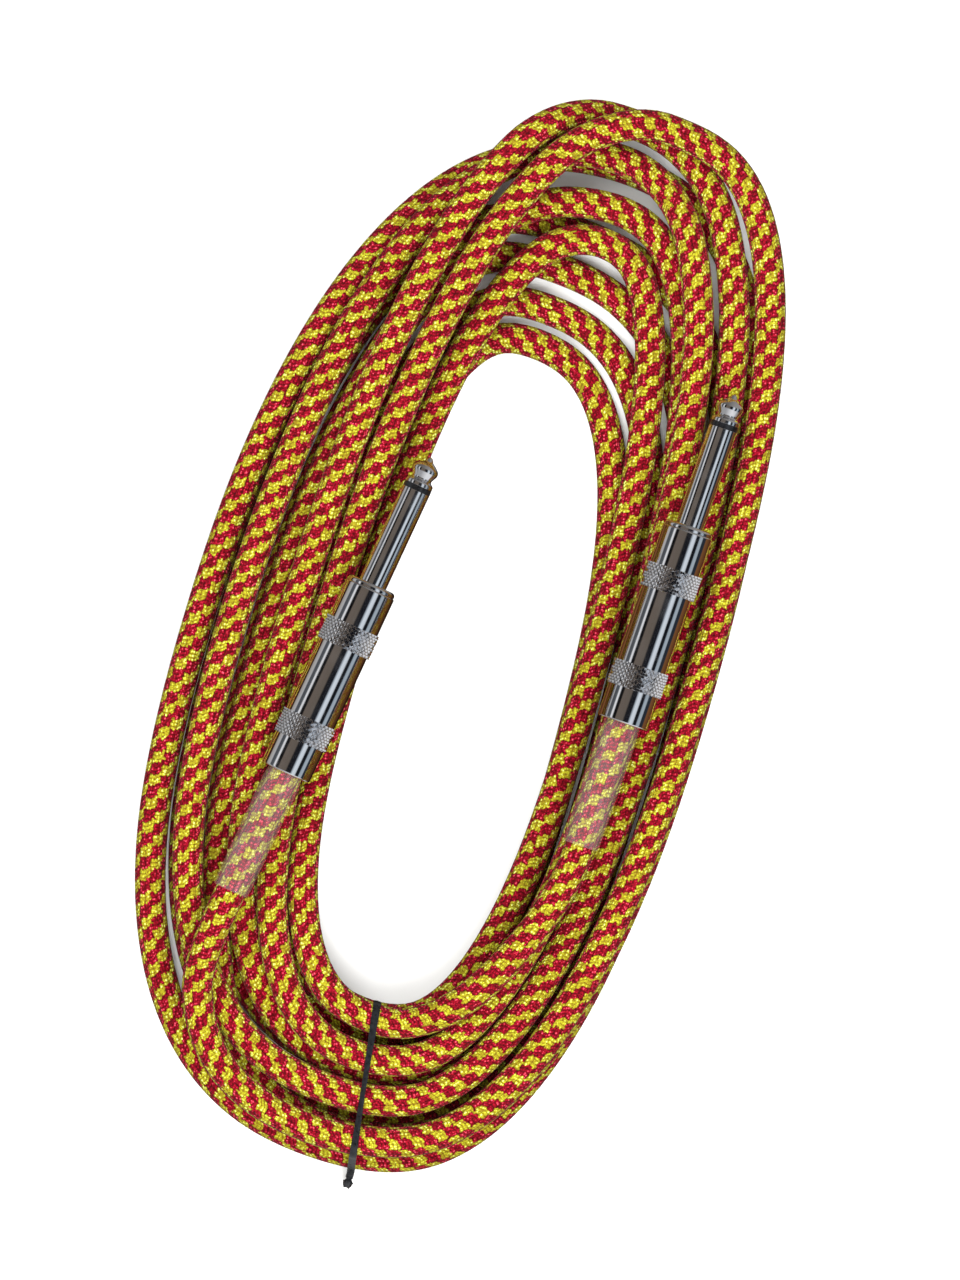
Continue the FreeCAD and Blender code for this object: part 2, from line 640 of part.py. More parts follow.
inside = size["cord_corner"] + size["tie_gap"]
belt_ends = []
for distance in (inside, inside + size["tie_thickness"]):
    face = Part.Face(tie_outline(distance))
    face.translate(Vector(-size["tie_width"] / 2, 0, 0))
    belt_ends.append(face.extrude(Vector(size["tie_width"], 0, 0)))
belt = belt_ends[1].cut(belt_ends[0])

# the two ends twisted together outside the coil, and their tails
knot_y = belt.BoundBox.YMin + size["tie_thickness"] / 2
knot_x, knot_z = size["tie_x"] - middle.x, height(1) + tie_lift
knot = []
quarters = 4
for i in range(quarters):
    piece = Part.makeBox(size["twist_width"], size["twist_length"] / quarters, 2 * size["tie_thickness"],
                         Vector(-size["twist_width"] / 2, 0, -size["tie_thickness"]))
    piece.rotate(Vector(), Vector(0, 1, 0), 45 * i)
    piece.translate(Vector(knot_x, knot_y - size["twist_length"] * (i + 1) / quarters, knot_z))
    knot.append(piece)
tails = []
for degrees in (size["left_tail_turn"], size["right_tail_turn"]):
    tail = Part.makeBox(size["tail_length"], size["tie_width"], size["tie_thickness"],
                        Vector(0, -size["tie_width"] / 2, -size["tie_thickness"] / 2))
    tail.rotate(Vector(), Vector(0, 1, 0), size["tail_pitch"])
    tail.rotate(Vector(), Vector(0, 0, 1), degrees)
    tail.translate(Vector(knot_x, knot_y - size["twist_length"] + size["tie_width"] / 2, knot_z))
    tails.append(tail)
nodes.append(feature("twist_tie", belt.fuse(knot + tails)))
doc.recompute()

# nothing is written unless every object is sound
for piece in doc.Objects:
    if "Invalid" in piece.State or "Error" in piece.State:
        raise SystemExit(f"{piece.Label} failed: {piece.State}")
for piece in nodes:
    if piece.Shape.isNull() or not piece.Shape.isValid() or piece.Shape.Volume <= 0:
        raise SystemExit(f"{piece.Label} is not a sound solid")
os.makedirs("parts", exist_ok=True)
whole = FreeCAD.BoundBox()
for piece in nodes:
    piece.Shape.exportStep(f"parts/{piece.Label}.step")
    whole.add(piece.Shape.BoundBox)
    print(f"{piece.Label}: {len(piece.Shape.Solids)} solid(s), {piece.Shape.Volume:.2f} mm3")
print(f"outline {whole.XMin:.2f} {whole.XMax:.2f}, {whole.YMin:.2f} {whole.YMax:.2f}, "
      f"{whole.ZMin:.2f} {whole.ZMax:.2f}")
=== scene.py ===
import math
import random

import bmesh
import bpy
from mathutils import Matrix, Vector
from mathutils.geometry import convex_hull_2d


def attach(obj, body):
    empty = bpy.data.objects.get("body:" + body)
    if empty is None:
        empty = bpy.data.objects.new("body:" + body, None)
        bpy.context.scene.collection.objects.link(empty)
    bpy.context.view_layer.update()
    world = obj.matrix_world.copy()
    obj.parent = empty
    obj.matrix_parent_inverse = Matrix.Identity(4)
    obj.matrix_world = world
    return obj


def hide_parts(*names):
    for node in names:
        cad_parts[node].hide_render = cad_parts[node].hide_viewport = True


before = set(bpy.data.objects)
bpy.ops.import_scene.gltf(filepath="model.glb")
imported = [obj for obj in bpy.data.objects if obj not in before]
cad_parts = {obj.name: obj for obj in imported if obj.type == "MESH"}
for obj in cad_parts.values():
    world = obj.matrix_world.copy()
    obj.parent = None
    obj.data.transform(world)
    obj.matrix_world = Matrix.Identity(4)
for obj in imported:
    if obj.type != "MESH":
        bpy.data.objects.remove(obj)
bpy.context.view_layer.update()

# Instrument cable: a braided lead in ten loose turns, with a tie and two quarter-inch plugs.
# Sizes below are in millimetres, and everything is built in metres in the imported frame.

mm = 0.001

# The coil, from its eye. Heights are in layers of turns.
coil = {
    "cordDiameter": 6.8,
    "flatShare": 0.1,        # the lowest turns are pressed flat by this share
    "layerRise": 7.5,
    "tieX": 2.0,             # where the turns cross the bottom, under the tie
    "tieLift": 1.63,         # the bundle stands this far up on the tie
    "rightY": -14.0,         # where the shortest turn reaches furthest right
    "rightFan": 0.68,        # that place rises by this share of the rise of a turn's top
    "shortestTop": 69.8,
    "leftY": -22.0,          # where the turns reach furthest left
    # power of the oval in each quarter, where 2 is an ellipse
    "squareness": {"lowerLeft": 2.45, "lowerRight": 2.5, "upperRight": 2.6, "upperLeft": 2.3, "lead": 2.5},
    "pointsPerQuarter": 7,
    "middle": (-3.55, 0.73),  # the middle of the outline
}
# name, bottom y and layer, right x and layer, right shoulder (layer, degrees), top x, y and layer,
# left shoulder, left x and layer
turns = [
    ("ninth", (-111.3, 3), (51.6, 3), None, (13, 121.7, 3.05), (3.15, 60), (-31.6, 3)),
    ("seventh", (-93.2, 3), (36.5, 3), (3.15, 45), (1.5, 112.8, 2.05), (2.06, 45), (-51.5, 2.95)),
    ("eighth", (-102.2, 3), (43.9, 2), (2.85, 42), (1, 121.2, 1.85), (3.1, 65), (-39, 3.05)),
    ("fifth", (-95.8, 2), (36.2, 2), None, (4, 102.3, 2), None, (-43.5, 2)),
    ("sixth", (-110.6, 2), (52.1, 2), None, (1, 111.9, 1), None, (-59.2, 1.95)),
    ("fourth", (-115, 1), (50.7, 1), None, (-8, 95.6, 1), None, (-52.4, 1)),
    ("third", (-105.2, 1), (43, 1), None, (-9, 86.8, 1), None, (-44.8, 1)),
    ("second", (-96, 1), (35.3, 1), None, (-7, 77.4, 1), None, (-37.3, 1)),
    ("first", (-87.8, 1), (27.6, 1), None, (-6, 69.3, 1), None, (-29.8, 1)),
    ("inner", (-84.1, 2), (28, 2), None, (4.5, 94.4, 2), None, (-25.2, 1.95)),
]
lastBottom = (-84.3, 3)
fromLeftPlug = (-37.8, -87.5, 3.98, 286)   # x, y, layer and heading where the lead climbs down
toRightPlug = (24.5, -67.5, 3.98, 60)      # and where it climbs up again

# Both plugs, with the front of the flange at x = 0 and the tip along +X
plug = {
    "left": {"x": -23.5, "y": 8.1, "heading": 80.1},
    "right": {"x": 40.3, "y": 38.3, "heading": 86.1},
    "axisLayer": 4.35,
    "flangeLength": 1.2,
    "shellLength": 44.3,
    "sleeveLength": 28.5,
    "cutEnd": 24.4,           # the braid ends this far behind the flange's front
    "straight": (36, 48, 60),  # the spline's points between there and the end of the strain sleeve
}


def layerHeight(layer):
    return coil["cordDiameter"] * (0.5 - coil["flatShare"]) + (layer - 1) * coil["layerRise"]


def plugMatrix(side):
    place = plug[side]
    x, y = place["x"] - coil["middle"][0], place["y"] - coil["middle"][1]
    spot = Vector((x, y, layerHeight(plug["axisLayer"]))) * mm
    return Matrix.Translation(spot) @ Matrix.Rotation(math.radians(place["heading"]), 4, "Z")


def plugPoint(side, along):
    return plugMatrix(side) @ Vector((along * mm, 0, 0))


# camera

view = {
    "pixelsTall": 1280,
    "pixelsPerMm": 4.55,
    "distance": 3.0,         # metres above the layer that the picture is measured in
    "layer": 3,
    "roll": 15.0,
    "aim": (5.92, 1.59),     # the middle of the picture on the table, in mm
    "sensor": 36.0,
    "clipEnd": 20.0,         # metres
}


def makeCamera():
    data = bpy.data.cameras.new("camera")
    data.sensor_width = view["sensor"]
    data.sensor_fit = "AUTO"
    tall = view["pixelsTall"] / view["pixelsPerMm"] * mm
    data.lens = view["sensor"] * view["distance"] / tall
    data.clip_end = view["clipEnd"]
    camera = bpy.data.objects.new("camera", data)
    level = layerHeight(view["layer"]) * mm
    camera.location = (view["aim"][0] * mm, view["aim"][1] * mm, view["distance"] + level)
    camera.rotation_euler = (0, 0, math.radians(view["roll"]))
    bpy.context.scene.collection.objects.link(camera)
    bpy.context.scene.camera = camera


makeCamera()
print("camera set")


# materials

def linearColour(sRgbHex, alpha=1.0):
    channels = [int(sRgbHex[i:i + 2], 16) / 255 for i in (1, 3, 5)]
    return [c / 12.92 if c <= 0.04045 else ((c + 0.055) / 1.055) ** 2.4 for c in channels] + [alpha]


def addNode(tree, kind, inputs=(), **settings):
    # inputs are values, nodes or sockets, in the order of the node's own inputs or by name
    node = tree.nodes.new("ShaderNode" + kind)
    for name, value in settings.items():
        setattr(node, name, value)
    for key, value in inputs.items() if isinstance(inputs, dict) else enumerate(inputs):
        source = value.outputs[0] if isinstance(value, bpy.types.Node) else value
        if isinstance(source, bpy.types.NodeSocket):
            tree.links.new(source, node.inputs[key])
        else:
            node.inputs[key].default_value = source
    return node


def calculate(tree, operation, *inputs):
    return addNode(tree, "Math", inputs, operation=operation)


def remap(tree, value, start=(0.0, 1.0), end=(0.0, 1.0)):
    # carries the values between the two of `start` over to those between the two of `end`
    return addNode(tree, "MapRange", {"Value": value, "From Min": start[0], "From Max": start[1],
                                      "To Min": end[0], "To Max": end[1]})


def startMaterial(name):
    material = bpy.data.materials.new(name)
    material.use_nodes = True
    tree = material.node_tree
    tree.nodes.clear()
    return material, tree


def endMaterial(tree, shaderInputs):
    shader = addNode(tree, "BsdfPrincipled", shaderInputs)
    addNode(tree, "OutputMaterial", {"Surface": shader})


braid = {
    # each dye comes with a painted shade colour for the dark sides of its tufts and a painted highlight
    # colour (the Sheen ones) for their crests
    "crimson": "#A20824",
    "crimsonPaintedShade": "#400204",
    "crimsonSheen": "#E2566A",
    "lime": "#BCBC26",
    "limePaintedShade": "#745A10",
    "limeSheen": "#E6F092",
    # painted shade for the crevices between stitches
    "gap": "#140203",
    "columns": 16,           # yarn columns round the cord, in pairs that lean towards each other
    "stitch": 0.867,         # mm along the cord
    "stitchesPerStripe": 6,
    "limeShare": 0.45,
    "stripesRound": 4,       # whole stripes that the pairs climb in a round
    "pairSlope": 1.1,        # stitches of that climb that lie across a pair, and the rest is a step
    "toothDepth": 0.55,      # stitches that a pair's middle reaches further than its edges
    "tuft": 0.5,             # mm between tufts of filaments, coarser than real ones so that they show
    "tuftLength": 1.25,      # how much longer they are along the cord
    "scatter": 0.9,          # how unevenly they lie
    "tuftFall": (0.12, 0.62),  # they fall off between these distances from their middle, in tufts
    "tuftFoot": 0.3,         # share of their height at the outer one
    "columnDip": 0.25,       # powers of a half wave: the smaller, the narrower the dip
    "stitchDip": 0.3,
    "tones": (0.6, 1.4),     # from the darkest tuft to the brightest
    "paintedShadeFades": (0.12, 0.65),  # ranges of the lit relief in which the painted shade gives way to the dye
    "paintedHighlightGrows": (0.62, 1.05),  # and the dye to the painted highlight
    "gapCloses": (0.1, 0.45),  # range of the stitches' bulge in which the painted shade in the crevices gives way
    "relief": 0.35,          # mm from a gap to a crest
    "roughness": (0.8, 0.5),  # in the gaps and on the crests
    "ior": 1.55,             # polyester
    "specular": 0.12,
    "sheen": 0.04,
    "sheenRoughness": 0.4,
}


def findStitch(tree, around, along):
    pairPlace = calculate(tree, "MULTIPLY", around, braid["columns"] / 2)
    pair = calculate(tree, "FLOOR", pairPlace)
    acrossPair = calculate(tree, "FRACT", pairPlace)
    fromMiddle = calculate(tree, "SUBTRACT", acrossPair, 0.5)
    offMiddle = calculate(tree, "ABSOLUTE", fromMiddle)
    stitchPlace = calculate(tree, "MULTIPLY", along, 1 / braid["stitch"])
    leaning = calculate(tree, "MULTIPLY_ADD", offMiddle, 2 * braid["toothDepth"], stitchPlace)
    sloping = calculate(tree, "MULTIPLY_ADD", acrossPair, -braid["pairSlope"], leaning)
    climb = braid["stripesRound"] * braid["stitchesPerStripe"] * 2 / braid["columns"]
    return calculate(tree, "MULTIPLY_ADD", pair, -climb, sloping)


def makeBraidMaterial():
    # Woven polyester jacket: two dyed yarns in paired leaning stitches that step round the cord in
    # stripes.
    # The loose filaments stand up in small tufts, each of one colour, with painted shade at their edges
    # and a painted highlight on their crests. The crevices between stitches get painted shade too.
    material, tree = startMaterial("wovenPolyesterJacket")
    uv = addNode(tree, "UVMap", uv_map="cordMap")
    split = addNode(tree, "SeparateXYZ", [uv])
    around, along = split.outputs["X"], split.outputs["Y"]

    # the tufts are scattered over the cord as if it were straight
    turn = calculate(tree, "MULTIPLY", around, 2 * math.pi)
    cosine = calculate(tree, "COSINE", turn)
    sine = calculate(tree, "SINE", turn)
    circle = [calculate(tree, "MULTIPLY", wave, coil["cordDiameter"] / 2)
              for wave in (cosine, sine)]
    pressed = calculate(tree, "MULTIPLY", along, 1 / braid["tuftLength"])
    straight = addNode(tree, "CombineXYZ", [circle[0], circle[1], pressed])
    tufts = addNode(tree, "TexVoronoi", {"Vector": straight, "Scale": 1 / braid["tuft"],
                                         "Randomness": braid["scatter"]})
    middle = addNode(tree, "SeparateXYZ", [tufts.outputs["Position"]])
    angle = calculate(tree, "ARCTAN2", middle.outputs["Y"], middle.outputs["X"])
    tuftAround = calculate(tree, "MULTIPLY", angle, 0.5 / math.pi)
    tuftAlong = calculate(tree, "MULTIPLY", middle.outputs["Z"], braid["tuftLength"])
    tuftStitch = findStitch(tree, tuftAround, tuftAlong)
    stripe = calculate(tree, "MULTIPLY", tuftStitch, 1 / braid["stitchesPerStripe"])
    stripePlace = calculate(tree, "FRACT", stripe)
    isLime = calculate(tree, "LESS_THAN", stripePlace, braid["limeShare"])
    tuftRound = remap(tree, tufts.outputs["Distance"], braid["tuftFall"], (1.0, braid["tuftFoot"]))

    # a stitch is round across and along, and dips at its edges
    column = calculate(tree, "MULTIPLY", around, braid["columns"])
    across = calculate(tree, "FRACT", column)
    within = calculate(tree, "FRACT", findStitch(tree, around, along))
    dips = []
    for place, power in ((across, braid["columnDip"]), (within, braid["stitchDip"])):
        wave = calculate(tree, "MULTIPLY", place, math.pi)
        rounded = calculate(tree, "SINE", wave)
        dips.append(calculate(tree, "POWER", rounded, power))
    bulge = calculate(tree, "MULTIPLY", *dips)
    relief = calculate(tree, "MULTIPLY", bulge, tuftRound)

    # every tuft differs a little
    chance = addNode(tree, "SeparateXYZ", [tufts.outputs["Color"]])
    tone = remap(tree, chance.outputs["X"], end=braid["tones"])
    # painted light: the relief and the tuft's tone choose between the painted shade, the dye and the
    # painted highlight
    lit = calculate(tree, "MULTIPLY", relief, tone)
    outOfPaintedShade = remap(tree, lit, braid["paintedShadeFades"])
    paintedGlint = remap(tree, lit, braid["paintedHighlightGrows"])
    dyedWithPaintedLight = []
    for name in ("crimson", "lime"):
        low, medium, high = (linearColour(braid[name + kind]) for kind in ("PaintedShade", "", "Sheen"))
        body = addNode(tree, "MixRGB", [outOfPaintedShade, low, medium])
        dyedWithPaintedLight.append(addNode(tree, "MixRGB", [paintedGlint, body, high]))
    yarn = addNode(tree, "MixRGB", [isLime, *dyedWithPaintedLight])
    # painted shade darkens the crevices between stitches, where the bulge is low
    closed = remap(tree, bulge, braid["gapCloses"])
    colour = addNode(tree, "MixRGB", [closed, linearColour(braid["gap"]), yarn])

    bump = addNode(tree, "Bump", {"Height": relief, "Strength": 1.0, "Distance": braid["relief"] * mm})
    endMaterial(tree, {
        "Base Color": colour, "Roughness": remap(tree, relief, end=braid["roughness"]), "Normal": bump,
        "IOR": braid["ior"], "Specular IOR Level": braid["specular"],
        "Sheen Weight": braid["sheen"], "Sheen Roughness": braid["sheenRoughness"],
    })
    return material


# cord

cordLook = {
    "splineOrder": 3,
    "splineSteps": 12,       # steps of the curve between two of the spline's points
    "ringStep": 2.2,
    "sides": 24,
    "floorGap": 0.02,        # the flattened turns stay this far above the table
}


def squaredQuarter(start, startHeading, end, endHeading, quarter):
    # Places on a quarter of a squared oval that leaves start and reaches end along the headings.
    # They leave out the start, and their height eases from one end's to the other's.
    go = Vector((math.cos(math.radians(startHeading)), math.sin(math.radians(startHeading)), 0))
    come = Vector((math.cos(math.radians(endHeading)), math.sin(math.radians(endHeading)), 0))
    flat = end - start
    flat.z = 0
    crossed = go.x * come.y - go.y * come.x
    legOut = (flat.x * come.y - flat.y * come.x) / crossed
    corner = start + go * legOut
    corner.z = 0
    first, last = Vector((start.x, start.y, 0)), Vector((end.x, end.y, 0))
    centre = first + last - corner
    power = 2 / coil["squareness"][quarter]
    places = []
    for i in range(1, coil["pointsPerQuarter"] + 1):
        turn = math.radians(90 * i / coil["pointsPerQuarter"])
        places.append(centre + (first - centre) * max(math.cos(turn), 0) ** power
                      + (last - centre) * math.sin(turn) ** power)
    lengths = [0]
    for a, b in zip([first] + places[:-1], places):
        lengths.append(lengths[-1] + (b - a).length)
    for place, length in zip(places, lengths[1:]):
        share = length / lengths[-1]
        place.z = start.z + (end.z - start.z) * share * share * (3 - 2 * share)
    return places


def onOval(side, top, layer, degrees, quarter):
    # a shoulder between a side and the top, with its heading
    wide, tall = side[0] - top[0], top[1] - side[1]
    turn, power = math.radians(degrees), 2 / coil["squareness"][quarter]
    place = Vector((top[0] + wide * math.cos(turn) ** power, side[1] + tall * math.sin(turn) ** power,
                    layerHeight(layer)))
    way = Vector((-wide * math.cos(turn) ** (power - 1) * math.sin(turn),
                  tall * math.sin(turn) ** (power - 1) * math.cos(turn)))
    if wide < 0:
        way = -way
    return place, math.degrees(math.atan2(way.y, way.x)), quarter


def cordStations():
    # (place, heading, quarter that ends there) all along the lead, in millimetres from the coil's eye
    def bottom(y, layer):
        return Vector((coil["tieX"], y, layerHeight(layer) + coil["tieLift"])), 0, "lowerLeft"

    stations = []
    x, y, layer, heading = fromLeftPlug
    stations.append((Vector((x, y, layerHeight(layer) + coil["tieLift"] / 2)), heading, "lead"))
    for name, low, right, rightRise, top, leftRise, left in turns:
        rightY = coil["rightY"] + coil["rightFan"] * (top[1] - coil["shortestTop"])
        stations += [bottom(*low), (Vector((right[0], rightY, layerHeight(right[1]))), 90, "lowerRight")]
        if rightRise:
            stations.append(onOval((right[0], rightY), top, *rightRise, "upperRight"))
        stations.append((Vector((top[0], top[1], layerHeight(top[2]))), 180, "upperRight"))
        if leftRise:
            stations.append(onOval((left[0], coil["leftY"]), top, *leftRise, "upperLeft"))
        stations.append((Vector((left[0], coil["leftY"], layerHeight(left[1]))), 270, "upperLeft"))
    stations.append(bottom(*lastBottom))
    x, y, layer, heading = toRightPlug
    stations.append((Vector((x, y, layerHeight(layer) + coil["tieLift"] / 2)), heading, "lead"))
    return stations


def cordRoute():
    # the spline's own points, in metres
    middle = Vector((coil["middle"][0], coil["middle"][1], 0))
    sleeveEnd = plug["flangeLength"] + plug["shellLength"] + plug["sleeveLength"]
    inPlug = (plug["cutEnd"], *plug["straight"])
    route = [plugPoint("left", -along) for along in (*inPlug, sleeveEnd)]
    here, heading = route[-1] / mm + middle, plug["left"]["heading"] + 180
    end = plugPoint("right", -sleeveEnd) / mm + middle
    for place, nextHeading, quarter in cordStations() + [(end, plug["right"]["heading"], "lead")]:
        route += [(p - middle) * mm for p in squaredQuarter(here, heading, place, nextHeading, quarter)]
        here, heading = place, nextHeading
    route += [plugPoint("right", -along) for along in reversed(inPlug)]
    return route


def splineLine(name, points):
    # the line of one smooth spline through the route, as points close together
    curve = bpy.data.curves.new(name, "CURVE")
    curve.dimensions = "3D"
    curve.resolution_u = cordLook["splineSteps"]
    spline = curve.splines.new("NURBS")
    spline.points.add(len(points) - 1)
    for control, point in zip(spline.points, points):
        control.co = (*point, 1)
    spline.order_u = cordLook["splineOrder"]
    spline.use_endpoint_u = True
    holder = bpy.data.objects.new(name, curve)
    bpy.context.scene.collection.objects.link(holder)
    line = bpy.data.meshes.new_from_object(holder)
    found = [v.co.copy() for v in line.vertices]
    bpy.data.objects.remove(holder)
    bpy.data.meshes.remove(line)
    return found


def evenly(points, step):
    # the same line with its points a steady step apart
    placed, travelled, target = [points[0]], 0.0, step
    for a, b in zip(points[:-1], points[1:]):
        length = (b - a).length
        while length > 0 and travelled + length >= target:
            placed.append(a.lerp(b, (target - travelled) / length))
            target += step
        travelled += length
    if (points[-1] - placed[-1]).length > step / 4:
        placed.append(points[-1])
    return placed


def makeTube(name, points, radius, sides):
    # a round tube along the points, with its length in mm and its share of a turn as a map
    curve = bpy.data.curves.new(name, "CURVE")
    curve.dimensions = "3D"
    curve.twist_mode = "MINIMUM"
    curve.bevel_depth = radius
    curve.bevel_resolution = (sides - 4) // 2
    curve.use_fill_caps = False
    spline = curve.splines.new("POLY")
    spline.points.add(len(points) - 1)
    for control, point in zip(spline.points, points):
        control.co = (*point, 1)
    holder = bpy.data.objects.new(name + "Line", curve)
    bpy.context.scene.collection.objects.link(holder)
    mesh = bpy.data.meshes.new_from_object(holder)
    bpy.data.objects.remove(holder)
    mesh.name = name
    rings = len(points)
    around = len(mesh.vertices) // rings
    while mesh.uv_layers:
        mesh.uv_layers.remove(mesh.uv_layers[0])
    layer = mesh.uv_layers.new(name="cordMap")
    lengths = [0.0]
    for a, b in zip(points[:-1], points[1:]):
        lengths.append(lengths[-1] + (b - a).length / mm)
    for face in mesh.polygons:
        places = [(mesh.loops[i].vertex_index % around, mesh.loops[i].vertex_index // around)
                  for i in face.loop_indices]
        wraps = any(k == 0 for k, ring in places) and any(k == around - 1 for k, ring in places)
        for i, (k, ring) in zip(face.loop_indices, places):
            turn = around if wraps and k == 0 else k
            layer.data[i].uv = (turn / around, lengths[ring])
    return mesh, around


def closeEnds(mesh):
    work = bmesh.new()
    work.from_mesh(mesh)
    bmesh.ops.holes_fill(work, edges=[e for e in work.edges if e.is_boundary], sides=0)
    bmesh.ops.recalc_face_normals(work, faces=work.faces)
    for face in work.faces:
        face.smooth = True
    work.to_mesh(mesh)
    work.free()


def showMesh(mesh, material, node, body="cable"):
    # a visible piece in place of a CAD node
    piece = bpy.data.objects.new(mesh.name, mesh)
    bpy.context.scene.collection.objects.link(piece)
    mesh.materials.clear()
    mesh.materials.append(material)
    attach(piece, body)
    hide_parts(node)
    return piece


cordLine = evenly(splineLine("route", cordRoute()), cordLook["ringStep"] * mm)
cordMesh, cordAround = makeTube("braidedCord", cordLine, coil["cordDiameter"] / 2 * mm, cordLook["sides"])
for vertex in cordMesh.vertices:
    vertex.co.z = max(vertex.co.z, cordLook["floorGap"] * mm)   # pressed flat on the table
closeEnds(cordMesh)
cord = showMesh(cordMesh, makeBraidMaterial(), "coiled_cord")
print(f"cord made in {len(cordLine)} rings of {cordAround}")


# plugs

chromePlate = {
    "colour": "#DDDEE2",
    "roughness": 0.07,
    "fingerRoughness": 0.09,   # worn by sockets
    "smudge": 6.0,             # mm across a patch of handling marks
    "smudgeFades": (0.5, 0.75),
    "smudgeRoughness": 0.1,    # what a mark adds
    "turningPitch": 0.3,       # mm between lathe marks, coarser than the real ones so that they show
    "turningDepth": 0.02,
    "turningStrength": 0.05,
}


def makeChromeMaterial(name, roughness):
    # Bright chrome plate on turned brass: a near mirror with faint rings from the lathe and light
    # handling marks.
    material, tree = startMaterial(name)
    place = addNode(tree, "TexCoord")
    uv = addNode(tree, "UVMap", uv_map="turnMap")
    split = addNode(tree, "SeparateXYZ", [uv])
    ringPlace = addNode(tree, "CombineXYZ", [split.outputs["Y"], 0.0, 0.0])
    rings = addNode(tree, "TexNoise", {"Vector": ringPlace, "Scale": 1 / chromePlate["turningPitch"],
                                       "Detail": 2.0})
    smudges = addNode(tree, "TexNoise", {"Vector": place.outputs["Object"], "Detail": 5.0,
                                         "Scale": 1 / (chromePlate["smudge"] * mm)})
    marks = remap(tree, smudges.outputs["Fac"], chromePlate["smudgeFades"],
                  (roughness, roughness + chromePlate["smudgeRoughness"]))
    bump = addNode(tree, "Bump", {"Height": rings.outputs["Fac"],
                                  "Strength": chromePlate["turningStrength"],
                                  "Distance": chromePlate["turningDepth"] * mm})
    endMaterial(tree, {"Base Color": linearColour(chromePlate["colour"]), "Metallic": 1.0,
                       "Roughness": marks, "Normal": bump})
    return material


turning = {"roundingSegments": 4, "weld": 0.001, "sharpAngle": 32}


def finishTurned(work, name, side):
    # a map of turns round the axis and millimetres along it, then the piece goes to its plug
    layer = work.loops.layers.uv.new("turnMap")
    for face in work.faces:
        face.smooth = True
        for loop in face.loops:
            spot = loop.vert.co
            loop[layer].uv = (math.atan2(spot.y, spot.z) / (2 * math.pi) + 0.5, spot.x / mm)
    work.transform(plugMatrix(side))
    mesh = bpy.data.meshes.new(name)
    work.to_mesh(mesh)
    work.free()
    mesh.set_sharp_from_angle(angle=math.radians(turning["sharpAngle"]))
    return mesh


def turnPiece(name, corners, side, steps):
    # a turned solid on a plug's axis, from corners (place along the axis, radius, rounding)
    work = bmesh.new()
    outline = [work.verts.new((place * mm, 0, radius * mm)) for place, radius, rounding in corners]
    for a, b in zip(outline, outline[1:] + outline[:1]):
        work.edges.new((a, b))
    for vertex, (place, radius, rounding) in zip(outline, corners):
        if rounding:
            bmesh.ops.bevel(work, geom=[vertex], offset=rounding * mm, offset_type="OFFSET",
                            segments=turning["roundingSegments"], profile=0.5, affect="VERTICES",
                            material=-1)
    bmesh.ops.spin(work, geom=work.verts[:] + work.edges[:], cent=(0, 0, 0), axis=(1, 0, 0),
                   angle=2 * math.pi, steps=steps, use_merge=True)
    bmesh.ops.remove_doubles(work, verts=work.verts, dist=turning["weld"] * mm)
    bmesh.ops.recalc_face_normals(work, faces=work.faces)
    return finishTurned(work, name, side)


def joined(name, meshes):
    # one mesh of several, which go
    work = bmesh.new()
    for mesh in meshes:
        work.from_mesh(mesh)
        bpy.data.meshes.remove(mesh)
    whole = bpy.data.meshes.new(name)
    work.to_mesh(whole)
    work.free()
    return whole


tip = {
    "back": 23.7,
    "collarFront": 24.65,
    "collarRadius": 3.12,
    "rodRadius": 1.2,
    "rivetRadius": 1.8,
    "lugBack": -8.4,
    "rivetBack": -9.0,
    # place, radius and rounding of the waist, head and nib
    "outline": ((25.2, 2.3, 0.25), (25.6, 2.25, 0.35), (27.35, 3.05, 0.45), (28.15, 2.74, 0.5),
                (29.05, 1.65, 0.45), (29.45, 0.95, 0.4), (30.35, 0.45, 0.25), (30.5, 0, 0)),
    "steps": 96,
}


def makeTip(side):
    # collar, shallow waist, round head with its widest place far forward, and a small pointed nib
    corners = [
        (tip["rivetBack"], 0, 0), (tip["rivetBack"], tip["rivetRadius"], 0.3),
        (tip["lugBack"], tip["rivetRadius"], 0.1), (tip["lugBack"], tip["rodRadius"], 0),
        (tip["back"], tip["rodRadius"], 0), (tip["back"], tip["collarRadius"], 0.12),
        (tip["collarFront"], tip["collarRadius"], 0.3), *tip["outline"],
    ]
    return turnPiece(side + "Tip", corners, side, tip["steps"])


sleeve = {
    "barrelFront": 22.6,
    "radius": 3.175,
    "bore": 2.2,
    "grooveDepth": 0.55,     # a turned groove where the barrel meets the flange
    "grooveRadius": 3.7,
    "flangeRadius": 5.5,
    "flangeBack": -1.2,
    "bevelBack": -0.45,
    "bevelRadius": 4.95,     # front edge of the flange
    "bossBack": -6.2,
    "threadRoot": 4.15,
    "threadCrest": 4.55,
    "threadPitch": 0.75,
    "threadInset": 0.1,      # from the boss's end to the first turn
    "threadSunk": 0.05,      # the ridge's foot lies this far inside the boss
    "turnsShort": 1.6,       # turns that the ridge leaves free on the boss
    "stepsPerTurn": 48,
    "steps": 96,
}


def makeSleeveBody(side):
    # boss, bevelled flange with a groove round the barrel's foot, and barrel, open at both ends
    root, flange, groove = sleeve["threadRoot"], sleeve["flangeRadius"], sleeve["grooveRadius"]
    corners = [
        (sleeve["bossBack"], sleeve["bore"], 0), (sleeve["bossBack"], root, 0.25),
        (sleeve["flangeBack"], root, 0), (sleeve["flangeBack"], flange, 0.08),
        (sleeve["bevelBack"], flange, 0.3), (0, sleeve["bevelRadius"], 0.3), (0, groove, 0.12),
        (-sleeve["grooveDepth"], groove, 0.1), (-sleeve["grooveDepth"], sleeve["radius"], 0.1),
        (sleeve["barrelFront"], sleeve["radius"], 0.08), (sleeve["barrelFront"], sleeve["bore"], 0),
    ]
    return turnPiece(side + "SleeveBody", corners, side, sleeve["steps"])


